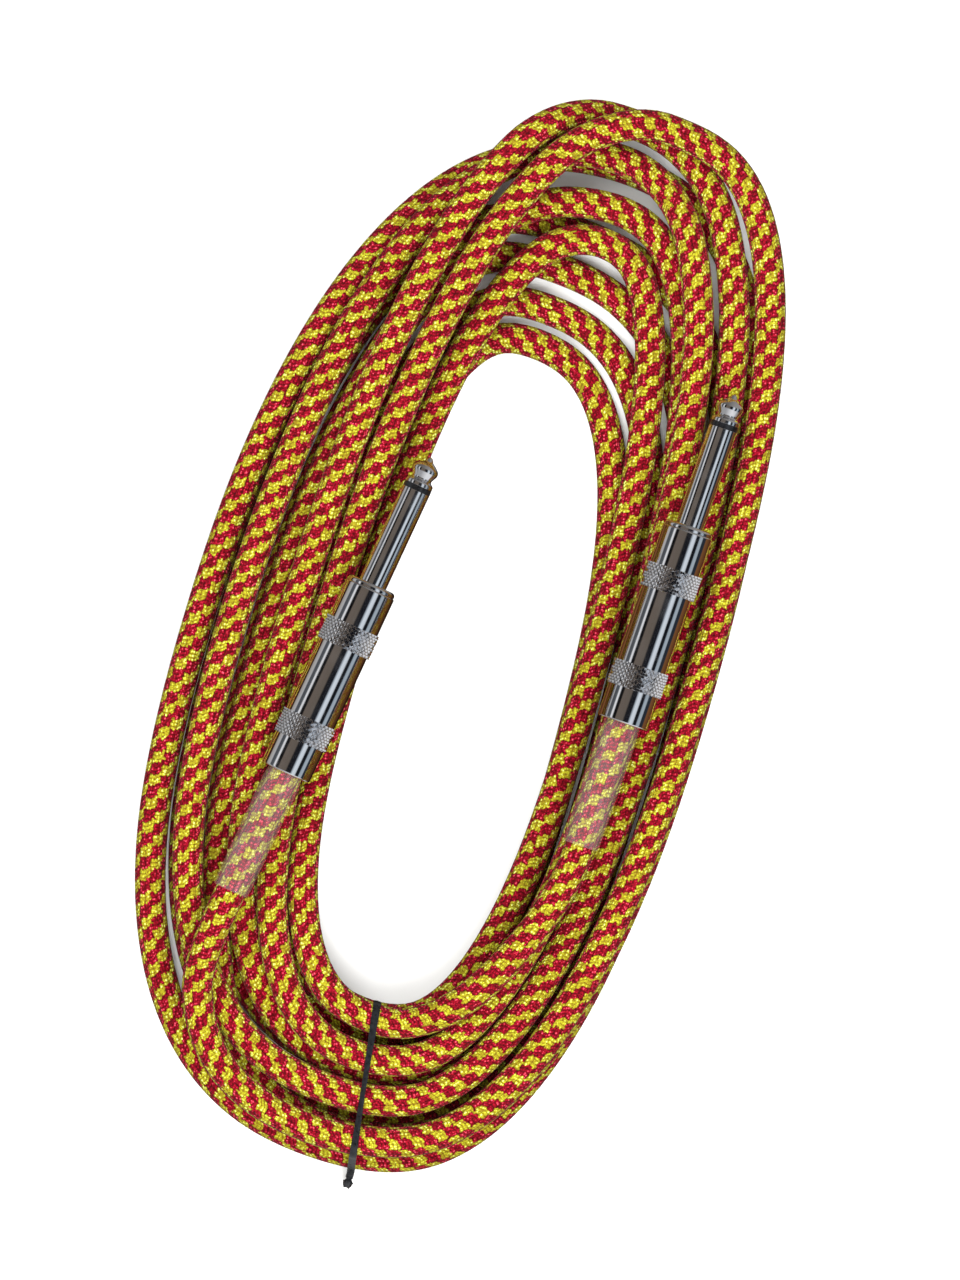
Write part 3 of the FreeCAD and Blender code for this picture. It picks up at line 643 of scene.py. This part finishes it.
def makeBossThread(side):
    # a V ridge that climbs round the boss by its pitch in each turn
    work = bmesh.new()
    pitch, perTurn = sleeve["threadPitch"], sleeve["stepsPerTurn"]
    turnsMade = (sleeve["flangeBack"] - sleeve["bossBack"]) / pitch - sleeve["turnsShort"]
    crest = sleeve["bossBack"] + pitch / 2 + sleeve["threadInset"]
    foot = sleeve["threadRoot"] - sleeve["threadSunk"]
    ridge = [(crest - pitch / 2, foot), (crest, sleeve["threadCrest"]), (crest + pitch / 2, foot)]
    verts = [work.verts.new((place * mm, 0, radius * mm)) for place, radius in ridge]
    edges = [work.edges.new((verts[i - 1], verts[i])) for i in (1, 2, 0)]
    work.faces.new(verts)
    bmesh.ops.spin(work, geom=verts + edges + work.faces[:], cent=(0, 0, 0), axis=(1, 0, 0),
                   angle=2 * math.pi * turnsMade, steps=round(turnsMade * perTurn),
                   dvec=(pitch / perTurn * mm, 0, 0))
    bmesh.ops.recalc_face_normals(work, faces=work.faces)
    return finishTurned(work, side + "BossThread", side)


shell = {
    "front": -1.2,
    "back": -45.5,
    "radius": 5.75,
    "bore": 5.1,
    "mouth": 4.66,
    "mouthBack": -6.6,
    "rearWall": 2.4,
    "rearHole": 4.25,
    "bands": (-10.0, -32.5),   # front of each knurled band
    "bandLength": 5.5,
    "bandRadius": 5.86,
    "knurlCrest": 6.3,
    "knurlsRound": 32,
    "knurlPitch": 1.22,
    "knurlHeights": (0.75, 1.0),   # share of the full height, from the lowest point to the highest
    "knurlTwist": 0.12,            # radians that a point is turned at most
    "knurlTop": 0.24,              # share of its width that is left at its blunt top
    "knurlSeeds": {"left": 11, "right": 12},
    "steps": 128,
}


def makeShell(side):
    # a hollow cup with a threaded mouth, a rear wall and two raised bands
    band = shell["bandLength"]
    corners = [(shell["front"], shell["mouth"], 0.25), (shell["front"], shell["radius"], 0.4)]
    for front in shell["bands"]:
        corners += [(front, shell["radius"], 0), (front, shell["bandRadius"], 0.04),
                    (front - band, shell["bandRadius"], 0.04), (front - band, shell["radius"], 0)]
    wall = shell["back"] + shell["rearWall"]
    corners += [(shell["back"], shell["radius"], 0.4), (shell["back"], shell["rearHole"], 0.3),
                (wall, shell["rearHole"], 0), (wall, shell["bore"], 0),
                (shell["mouthBack"], shell["bore"], 0), (shell["mouthBack"], shell["mouth"], 0)]
    return turnPiece(side + "Shell", corners, side, shell["steps"])


def makeKnurling(side):
    # Diamond points rolled into both bands, each a blunt four-sided pyramid, a little uneven as rolled
    # ones are. They are cut off square at the edges of a band.
    chance = random.Random(shell["knurlSeeds"][side])
    work = bmesh.new()
    columns, pitch, foot = shell["knurlsRound"], shell["knurlPitch"], shell["bandRadius"]
    across = 2 * math.pi * foot / columns
    rows = round(shell["bandLength"] / pitch)
    twist = shell["knurlTwist"]
    for front in shell["bands"]:
        points = bmesh.new()
        for column in range(columns):
            for row in range(2 * rows + 1):
                turn = 2 * math.pi * (column + row % 2 / 2) / columns
                tall = (shell["knurlCrest"] - foot) * chance.uniform(*shell["knurlHeights"])
                place = ((front - row * pitch / 2) * mm, 0, (foot + tall / 2) * mm)
                matrix = (Matrix.Rotation(turn, 4, "X") @ Matrix.Translation(place)
                          @ Matrix.Rotation(chance.uniform(-twist, twist), 4, "Z")
                          @ Matrix.Diagonal((pitch / 2, across / 2, 1, 1)))
                bmesh.ops.create_cone(points, cap_ends=True, segments=4, radius1=mm,
                                      radius2=shell["knurlTop"] * mm, depth=tall * mm, matrix=matrix)
        for edge, way in ((front, 1), (front - shell["bandLength"], -1)):
            everything = points.verts[:] + points.edges[:] + points.faces[:]
            cut = bmesh.ops.bisect_plane(points, geom=everything, plane_co=(edge * mm, 0, 0),
                                         plane_no=(way, 0, 0), clear_outer=True)
            rim = [e for e in cut["geom_cut"] if isinstance(e, bmesh.types.BMEdge)]
            bmesh.ops.holes_fill(points, edges=rim, sides=0)
        scrap = bpy.data.meshes.new("scrap")
        points.to_mesh(scrap)
        points.free()
        work.from_mesh(scrap)
        bpy.data.meshes.remove(scrap)
    mesh = finishTurned(work, side + "Knurling", side)
    for face in mesh.polygons:
        face.use_smooth = False
    return mesh


strain = {
    "front": -40.6,
    "back": -74.0,
    "inner": 3.48,
    "outer": 3.88,           # in the shell's hole
    "swell": 0.4,            # behind the shell, where it has shrunk least
    "swellStart": 0.5,       # behind the shell's end
    "swellTaper": 0.4,       # share of the swell that it would lose over its whole length
    "stretches": 14,
    "ripple": 0.05,
    "ripplePhase": {"left": 108, "right": 114},
    "rippleTurn": 2.1,       # radians from one stretch to the next
    "lip": 0.1,
    "steps": 72,
}


def makeStrainSleeve(side):
    # clear shrunk sleeve, a little uneven along its length, with soft lips
    corners = [(strain["front"], strain["inner"], 0), (strain["front"], strain["outer"], 0.1)]
    stretches, swellFront = strain["stretches"], shell["back"] - strain["swellStart"]
    for i in range(1, stretches):
        place = strain["front"] + (strain["back"] - strain["front"]) * i / stretches
        swell = strain["swell"] * (1 - strain["swellTaper"] * i / stretches) if place < swellFront else 0
        wave = 1 + math.sin(strain["rippleTurn"] * i + strain["ripplePhase"][side])
        corners.append((place, strain["outer"] + swell - strain["ripple"] * wave, 0))
    corners += [(strain["back"], strain["outer"] + strain["lip"], 0.12),
                (strain["back"], strain["inner"], 0)]
    return turnPiece(side + "StrainSleeve", corners, side, strain["steps"])


clearPlastic = {
    "ior": 1.53,
    "mirrorShare": 0.6,      # of what the alpha keeps
    "edgeBlend": 0.2,
    "haze": 4.0,             # mm across a cloudy patch
    "hazeFades": (0.3, 0.7),
    "hazeShare": (-0.02, 0.03),  # what a patch takes from the alpha or adds to it
    "unevenDepth": 0.1,      # mm
    "unevenStrength": 0.15,
}


def makeClearMaterial(name, colour, roughness, alphas):
    # Clear soft PVC: see-through from straight on, with a milky haze that thickens towards its edges,
    # and a wet gloss. Alpha would thin the gloss as well, so part of what it keeps mirrors fully.
    material, tree = startMaterial(name)
    place = addNode(tree, "TexCoord")
    facing = addNode(tree, "LayerWeight", {"Blend": clearPlastic["edgeBlend"]})
    haze = addNode(tree, "TexNoise", {"Vector": place.outputs["Object"], "Detail": 4.0,
                                      "Scale": 1 / (clearPlastic["haze"] * mm)})
    patches = remap(tree, haze.outputs["Fac"], clearPlastic["hazeFades"], clearPlastic["hazeShare"])
    edge = remap(tree, facing.outputs["Facing"], end=alphas)
    alpha = addNode(tree, "Math", [edge, patches], operation="ADD", use_clamp=True)
    bump = addNode(tree, "Bump", {"Height": haze.outputs["Fac"],
                                  "Strength": clearPlastic["unevenStrength"],
                                  "Distance": clearPlastic["unevenDepth"] * mm})
    endMaterial(tree, {"Base Color": linearColour(colour), "Roughness": roughness, "Alpha": alpha,
                       "IOR": clearPlastic["ior"], "Metallic": clearPlastic["mirrorShare"],
                       "Normal": bump})
    return material


mottle = {
    "ior": 1.5,
    "colourTurns": (0.35, 0.65),   # range of the noise in which one shade gives way to the other
    "glossTurns": (0.3, 0.7),
    "glossSpread": (0.8, 1.25),    # shares of the roughness, from patch to patch
    "bumpStrength": 0.3,
}


def makeMottledMaterial(name, colours, patch, roughness, metallic=0.0, depth=0.02):
    # a surface that varies between two shades in patches of a size in mm, with a bump of a depth in mm
    material, tree = startMaterial(name)
    place = addNode(tree, "TexCoord")
    noise = addNode(tree, "TexNoise", {"Vector": place.outputs["Object"], "Scale": 1 / (patch * mm),
                                       "Detail": 6.0, "Roughness": 0.6})
    share = remap(tree, noise.outputs["Fac"], mottle["colourTurns"])
    colour = addNode(tree, "MixRGB", [share, *(linearColour(c) for c in colours)])
    rough = remap(tree, noise.outputs["Fac"], mottle["glossTurns"],
                  [roughness * spread for spread in mottle["glossSpread"]])
    bump = addNode(tree, "Bump", {"Height": noise.outputs["Fac"], "Strength": mottle["bumpStrength"],
                                  "Distance": depth * mm})
    endMaterial(tree, {"Base Color": colour, "Metallic": metallic, "Roughness": rough,
                       "IOR": mottle["ior"], "Normal": bump})
    return material


finishes = {
    "shellChrome": makeChromeMaterial("chromePlateOnShell", chromePlate["roughness"]),
    "fingerChrome": makeChromeMaterial("chromePlateOnFinger", chromePlate["fingerRoughness"]),
    # moulded black ABS, glossy from a polished mould
    "black_insulator": makeMottledMaterial("mouldedBlackPlastic", ("#0B0B0C", "#15161A"), 1.5, 0.28),
    # vulcanised fibre, a dull brown red sheet with a paper grain
    "fibre_washer": makeMottledMaterial("vulcanisedFibre", ("#5A1B12", "#7C3020"), 0.4, 0.7, depth=0.03),
    # stamped steel with a thin coat of tin, grey and softly bright
    "tinned_lug": makeMottledMaterial("tinnedSteel", ("#A8A59C", "#C2BFB6"), 1.2, 0.33, metallic=1.0),
    # polyethylene, waxy and off-white
    "core_plastic": makeMottledMaterial("polyethylene", ("#DDD8C8", "#EAE6DA"), 1.0, 0.42),
    # bare stranded copper, warm and a little dull from the air
    "copper": makeMottledMaterial("strandedCopper", ("#9C5A3C", "#C9825C"), 0.35, 0.36, 1.0, 0.05),
    # tin and lead solder, grey, with a smooth frozen skin
    "solder": makeMottledMaterial("solderedJoint", ("#94969A", "#B4B6B8"), 0.8, 0.27, 1.0, 0.05),
    "clear_tube": makeClearMaterial("clearTube", "#DCE6EA", 0.14, (0.22, 0.6)),
    "clear_sleeve": makeClearMaterial("clearShrunkSleeve", "#F4E8EC", 0.1, (0.06, 0.3)),
}
carriedNodes = {
    "tip_insulator": "black_insulator", "rear_insulator": "fibre_washer", "ground_lug": "tinned_lug",
    "tip_lug": "tinned_lug", "core_insulation": "core_plastic", "core_wire": "copper",
    "screen_tail": "copper", "solder_joints": "solder", "insulating_tube": "clear_tube",
}
for side in ("left", "right"):
    showMesh(makeTip(side), finishes["fingerChrome"], side + "_tip_contact")
    showMesh(joined(side + "Sleeve", [makeSleeveBody(side), makeBossThread(side)]),
             finishes["fingerChrome"], side + "_sleeve_body")
    showMesh(joined(side + "KnurledShell", [makeShell(side), makeKnurling(side)]),
             finishes["shellChrome"], side + "_shell", body=side + "_shell")
    showMesh(makeStrainSleeve(side), finishes["clear_sleeve"], side + "_strain_sleeve")
    for part, finish in carriedNodes.items():
        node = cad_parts[f"{side}_{part}"]
        node.data.materials.clear()
        node.data.materials.append(finishes[finish])
print("plugs made")


# twist tie

tie = {
    "width": 1.7,
    "waist": 0.65,            # share of its width that shows halfway, where it turns partly on edge
    "thickness": 0.45,
    "edgeThickness": 0.24,
    "wire": 0.75,             # the wire inside stands out as a rib
    "ribFoot": 0.7,           # share of the thickness beside the rib
    "clearance": 0.05,        # from the strands
    "leanX": (1.2, 5.2),      # it leans across the bundle, from the innermost strand to the outermost
    "bend": 0.9,              # radius where both ends turn out of the belt
    "twistLength": 1.0,
    "twistTurns": 0.5,
    "twistRadius": 0.42,
    "tails": ((-0.5, -0.1, -1.0), (0.45, -0.15, -1.0)),
    "tailLength": 2.2,
    "tailDroop": 0.35,        # how fast a tail turns from the twist's way to its own
    "step": 0.5,
    "strandSteps": 48,        # round a strand, to find the outline of the bundle
    "bendSteps": 4,
    "twistSteps": 12,
    "tailSteps": 8,
    "sharpAngle": 40,
}


def bundleOutline():
    # the line round all the strands that cross under the tie, from the outermost one up and over
    radius = coil["cordDiameter"] / 2 + tie["clearance"] + tie["thickness"] / 2
    points = []
    for y, layer in [turn[1] for turn in turns] + [lastBottom]:
        for i in range(tie["strandSteps"]):
            turn = 2 * math.pi * i / tie["strandSteps"]
            points.append((y + radius * math.cos(turn),
                           layerHeight(layer) + coil["tieLift"] + radius * math.sin(turn)))
    ring = [points[i] for i in convex_hull_2d(points)]
    start = min(range(len(ring)), key=lambda i: ring[i][0])
    ring = ring[start:] + ring[:start + 1]
    if ring[1][1] < ring[0][1]:
        ring.reverse()
    return evenly([Vector((0, y, z)) for y, z in ring], tie["step"])


def tieLine():
    # centre line of the strip as (place, way that its face looks, share of its width)
    ring = bundleOutline()
    outer, inner = min(p.y for p in ring), max(p.y for p in ring)
    axisZ, reach = ring[0].z, tie["twistRadius"] + tie["bend"]
    line = []
    for p, ahead in zip(ring, ring[1:]):
        if abs(p.z - axisZ) < reach and p.y < outer + tie["bend"]:
            continue
        share = (inner - p.y) / (inner - outer)
        p.x = tie["leanX"][0] + (tie["leanX"][1] - tie["leanX"][0]) * share
        face = (ahead - p).cross(Vector((1, 0, 0)))
        line.append((p, -face.normalized(), 1 - (1 - tie["waist"]) * math.sin(math.pi * share) ** 2))
    knotX, bendSteps, twistSteps = tie["leanX"][1], tie["bendSteps"], tie["twistSteps"]
    for up, tail in zip((1, -1), tie["tails"]):
        end = []
        for i in range(bendSteps + 1):
            turn = math.pi / 2 * i / bendSteps
            place = Vector((knotX, outer - tie["bend"] * (1 - math.cos(turn)),
                            axisZ + up * (reach - tie["bend"] * math.sin(turn))))
            end.append((place, Vector((0, -math.cos(turn), up * math.sin(turn))), 1))
        for i in range(1, twistSteps + 1):
            turn = up * math.pi / 2 + 2 * math.pi * tie["twistTurns"] * i / twistSteps
            face = Vector((math.cos(turn), 0, math.sin(turn)))
            place = Vector((knotX, outer - tie["bend"] - tie["twistLength"] * i / twistSteps, axisZ))
            end.append((place + face * tie["twistRadius"], face, 1))
        start, way = end[-1][0], Vector((0, -1, 0))
        for i in range(tie["tailSteps"]):
            way = way.lerp(Vector(tail).normalized(), tie["tailDroop"]).normalized()
            start = start + way * tie["tailLength"] / tie["tailSteps"]
            end.append((start, face, 1))
        line = end[::-1] + line if up == 1 else line + end
    return line


def sweepStrip(name, section, line):
    # carries a closed section along the line, each station joined to the last
    work = bmesh.new()
    verts = [work.verts.new((x, y, 0)) for x, y in section]
    edges = [work.edges.new((verts[i], verts[(i + 1) % len(verts)])) for i in range(len(verts))]
    last = Matrix.Identity(4)
    for i, (place, face, share) in enumerate(line):
        way = (line[min(i + 1, len(line) - 1)][0] - line[max(i - 1, 0)][0]).normalized()
        out = (face - way * face.dot(way)).normalized()
        side = out.cross(way)
        station = Matrix.Translation(place * mm) @ Matrix((side, out, way)).transposed().to_4x4()
        station = station @ Matrix.Diagonal((share * mm, mm, mm, 1))
        if i:
            new = bmesh.ops.extrude_edge_only(work, edges=edges)["geom"]
            verts = [v for v in new if isinstance(v, bmesh.types.BMVert)]
            ring = set(verts)
            edges = [e for e in new if isinstance(e, bmesh.types.BMEdge) and ring.issuperset(e.verts)]
        bmesh.ops.transform(work, matrix=station @ last.inverted(), verts=verts)
        last = station
    bmesh.ops.holes_fill(work, edges=[e for e in work.edges if e.is_boundary], sides=0)
    bmesh.ops.recalc_face_normals(work, faces=work.faces)
    for face in work.faces:
        face.smooth = True
    mesh = bpy.data.meshes.new(name)
    work.to_mesh(mesh)
    work.free()
    mesh.set_sharp_from_angle(angle=math.radians(tie["sharpAngle"]))
    return mesh


def makeTie():
    wide, rib = tie["width"] / 2, tie["wire"] / 2
    edge, thick = tie["edgeThickness"] / 2, tie["thickness"] / 2
    foot = thick * tie["ribFoot"]
    section = [(wide, edge), (wide, -edge), (rib, -foot), (0, -thick), (-rib, -foot),
               (-wide, -edge), (-wide, edge), (-rib, foot), (0, thick), (rib, foot)]
    middle = Vector((coil["middle"][0], coil["middle"][1], 0))
    line = [(place - middle, face, share) for place, face, share in tieLine()]
    return sweepStrip("twistTie", section, line)


# PVC skin over a soft wire, black and glossy with a fine grain from the rollers
tieMaterial = makeMottledMaterial("pvcOverWire", ("#0C0D0F", "#1B1D21"), 1.0, 0.3)
tiePiece = showMesh(makeTie(), tieMaterial, "twist_tie")
print("tie made")

# a list of the pieces on the lead: the tie and the pieces of the plugs at both ends
onCord = [tiePiece]
madePieces = ("Tip", "Sleeve", "KnurledShell", "StrainSleeve")
for side in ("left", "right"):
    onCord += [bpy.data.objects[side + piece] for piece in madePieces]
    onCord += [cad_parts[f"{side}_{piece}"] for piece in (
        "tip_insulator", "rear_insulator", "ground_lug", "tip_lug", "core_insulation", "screen_tail",
        "insulating_tube")]


# floor, lights and surroundings

studio = {
    "floorLevel": -0.06,      # mm, just under the lowest turns
    "floorSize": 8.0,         # metres
    "floorColour": "#F4F4F2",
    "overhead": 1.8,          # light from straight up on what isn't metal, fading to the horizon
    "horizon": 0.05,
    "lamps": (                # place in metres, size and power of the softboxes
        ((0.35, -0.55, 1.3), 0.7, 23.0),
        ((-0.55, 0.45, 1.2), 0.7, 11.5),
    ),
    "plugHeading": 83.0,
    # what metal mirrors, by the angle from straight up, in degrees towards the right of the plugs
    "sheets": (
        (-180, "#1A1210"), (-140, "#5A3820"), (-126, "#8E5A34"), (-116, "#3A2418"), (-107, "#34261E"),
        (-103, "#B0A8A0"), (-85, "#C0C0C0"), (-81, "#505256"), (-66, "#5C6064"), (-62, "#F4F4F4"),
        (-56, "#F0F0F0"), (-52, "#08080A"), (-41, "#08080A"), (-37, "#70645A"), (-5, "#6A6056"),
        (1, "#141418"), (20, "#10141E"), (25, "#B4BEC6"), (30, "#E8F0F6"), (42, "#DCE4EA"),
        (46, "#0A0C12"), (59, "#10161E"), (63, "#A8B4BE"), (76, "#B4C0C8"), (80, "#262E38"),
        (96, "#2E343C"), (101, "#845632"), (125, "#643E24"), (150, "#20160F"), (180, "#1A1210"),
    ),
    # panels stand past both ends of the plugs, from the first sine of the angle to the second
    "ends": (0.35, 0.6),
    "rearPanel": "#F6F6F6",
    "frontPanel": "#A09C98",
    "panelPaintedShade": 0.45,       # of their brightness on the left, growing to all of it on the right
    "shadeReach": 0.4,        # sine of the angle to each side over which it grows
}


def makeFloor():
    work = bmesh.new()
    bmesh.ops.create_grid(work, x_segments=1, y_segments=1, size=studio["floorSize"] / 2,
                          matrix=Matrix.Translation((0, 0, studio["floorLevel"] * mm)))
    mesh = bpy.data.meshes.new("floor")
    work.to_mesh(mesh)
    work.free()
    floor = bpy.data.objects.new("floor", mesh)
    bpy.context.scene.collection.objects.link(floor)
    # matt white paper sweep
    material, tree = startMaterial("mattWhitePaper")
    endMaterial(tree, {"Base Color": linearColour(studio["floorColour"]), "Roughness": 0.95,
                       "Specular IOR Level": 0.1})
    mesh.materials.append(material)
    floor.visible_glossy = False
    floor.visible_diffuse = False


def makeLights():
    for number, (place, size, power) in enumerate(studio["lamps"], start=1):
        lamp = bpy.data.lights.new(f"softbox{number}", "AREA")
        lamp.shape = "SQUARE"
        lamp.size = size
        lamp.energy = power
        holder = bpy.data.objects.new(f"softbox{number}", lamp)
        holder.location = place
        holder.rotation_euler = (-Vector(place)).to_track_quat("-Z", "Y").to_euler()
        holder.visible_glossy = False
        bpy.context.scene.collection.objects.link(holder)


def makeSurroundings():
    # Cloth and plastic get white light that is strongest from straight up. Metal mirrors a tent of
    # sheets that run along the plugs, with dark gaps between them, and white panels past both ends.
    world = bpy.data.worlds.new("tent")
    world.use_nodes = True
    tree = world.node_tree
    tree.nodes.clear()
    place = addNode(tree, "TexCoord")
    turned = addNode(tree, "Mapping", [place.outputs["Generated"]], vector_type="POINT")
    turned.inputs["Rotation"].default_value = (0, 0, math.radians(90 - studio["plugHeading"]))
    split = addNode(tree, "SeparateXYZ", [turned])
    angle = calculate(tree, "ARCTAN2", split.outputs["X"], split.outputs["Z"])
    share = calculate(tree, "MULTIPLY_ADD", angle, 1 / (2 * math.pi), 0.5)
    sheets = addNode(tree, "ValToRGB", [share])
    stops = sheets.color_ramp.elements
    while len(stops) < len(studio["sheets"]):
        stops.new(1.0)
    for stop, (degrees, colour) in zip(stops, studio["sheets"]):
        stop.position = degrees / 360 + 0.5
        stop.color = linearColour(colour)
    lengthways = calculate(tree, "ABSOLUTE", split.outputs["Y"])
    towardsEnd = remap(tree, lengthways, studio["ends"])
    forwards = calculate(tree, "GREATER_THAN", split.outputs["Y"], 0.0)
    panels = addNode(tree, "MixRGB", [forwards, linearColour(studio["rearPanel"]),
                                      linearColour(studio["frontPanel"])])
    reach = studio["shadeReach"]
    sideways = remap(tree, split.outputs["X"], (-reach, reach), (studio["panelPaintedShade"], 1.0))
    shaded = addNode(tree, "VectorMath", {"Vector": panels, "Scale": sideways}, operation="SCALE")
    tent = addNode(tree, "MixRGB", [towardsEnd, sheets, shaded])
    upwards = remap(tree, split.outputs["Z"], end=(studio["horizon"], studio["overhead"]))
    path = addNode(tree, "LightPath")
    mirrored = addNode(tree, "Background", [tent, 1.0])
    soft = addNode(tree, "Background", {"Color": linearColour("#FFFFFF"), "Strength": upwards})
    mix = addNode(tree, "MixShader", [path.outputs["Is Glossy Ray"], soft, mirrored])
    addNode(tree, "OutputWorld", {"Surface": mix})
    bpy.context.scene.world = world


makeFloor()
makeLights()
makeSurroundings()
bpy.context.scene.view_settings.view_transform = "Standard"
print("studio set")
